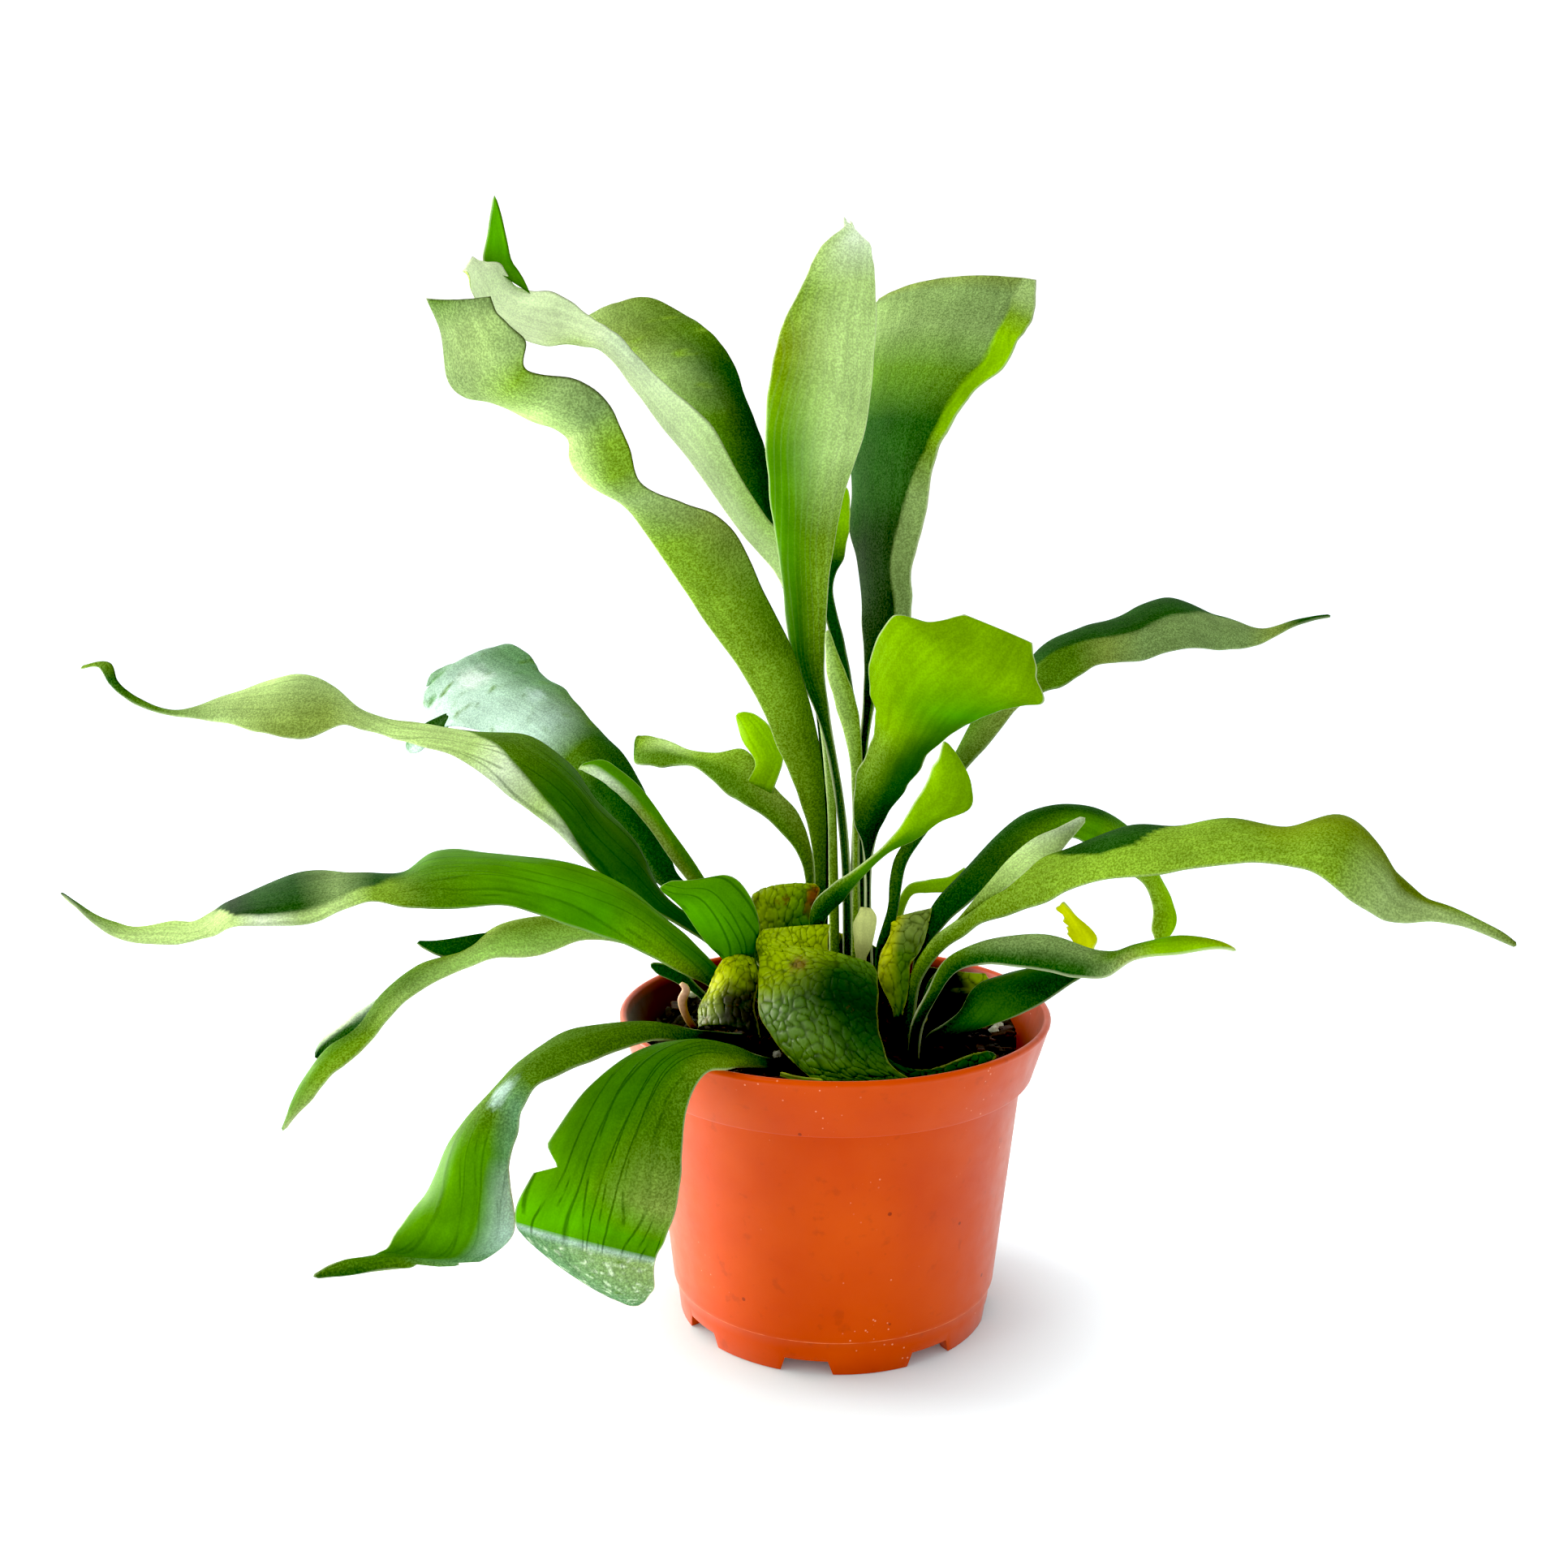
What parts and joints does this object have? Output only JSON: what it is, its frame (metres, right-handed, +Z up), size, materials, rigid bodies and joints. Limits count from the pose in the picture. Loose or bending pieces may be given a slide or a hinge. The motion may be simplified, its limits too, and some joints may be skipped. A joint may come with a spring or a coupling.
{
  "type": "staghorn fern in a nursery pot",
  "caption": "Staghorn fern with wavy, strap-like green fronds and net-veined shield fronds, growing in soil in an orange plastic nursery pot with a notched foot.",
  "frame": {"origin": "on the axis of the pot, at the level of the surface that it stands on: the middle of the flat pad under its floor", "axes": "+Z up along the axis of the pot; +X to the right and -Y towards the viewer when the plant is seen from the front"},
  "size_m": [0.3828, 0.1979, 0.3032],
  "materials": {
    "pot_plastic": "satin moulded orange polypropylene with fine scuffs",
    "potting_soil": "dark crumbly peat and bark with pale perlite",
    "rhizome_scales": "matt brown papery scales",
    "frond_green": "leathery bright green blade with a fine felt of pale hairs",
    "frond_pale": "leathery blade with a thick pale green felt",
    "frond_dark": "leathery dark green blade with a thin pale speckle of hairs",
    "frond_silver": "leathery blade with a silver-blue bloom",
    "frond_young": "beige-green felt of a frond that is still rolled up",
    "shield_green": "yellow-green shield blade with a dark net of veins",
    "shield_dry": "dead brown papery shield"
  },
  "bodies": {
    "root": {"pot": "pot_plastic", "soil": "potting_soil", "rhizome": "rhizome_scales", "frond_upper_left_wavy": "frond_pale", "frond_upper_left_pale": "frond_pale", "frond_upper_left_dark": "frond_dark", "frond_tall_centre": "frond_pale", "frond_tall_right": "frond_dark", "frond_narrow_behind": "frond_dark", "frond_narrow_pale": "frond_pale", "frond_broad_bright": "frond_green", "frond_twisted_ribbon": "frond_green", "frond_right_upper": "frond_dark", "frond_right_forked": "frond_pale", "frond_right_arching": "frond_dark", "frond_right_low": "frond_green", "frond_right_lowest_dark": "frond_dark", "frond_left_upper": "frond_pale", "frond_left_middle": "frond_green", "frond_left_drooping": "frond_green", "frond_front_left_hanging": "frond_green", "frond_front_wide_hanging": "frond_green", "frond_centre_short_bright": "frond_green", "frond_left_curled": "frond_dark", "frond_left_back_silver": "frond_silver", "frond_centre_left_back": "frond_dark", "frond_young_club": "frond_young", "frond_thin_behind": "frond_green", "frond_small_dark": "frond_dark", "frond_yellow_tip": "frond_green", "shield_front": "shield_green", "shield_left": "shield_green", "shield_back": "shield_green", "shield_right": "shield_green", "shield_dead": "shield_dry", "shield_rear": "shield_dry"}
  },
  "joints": []
}
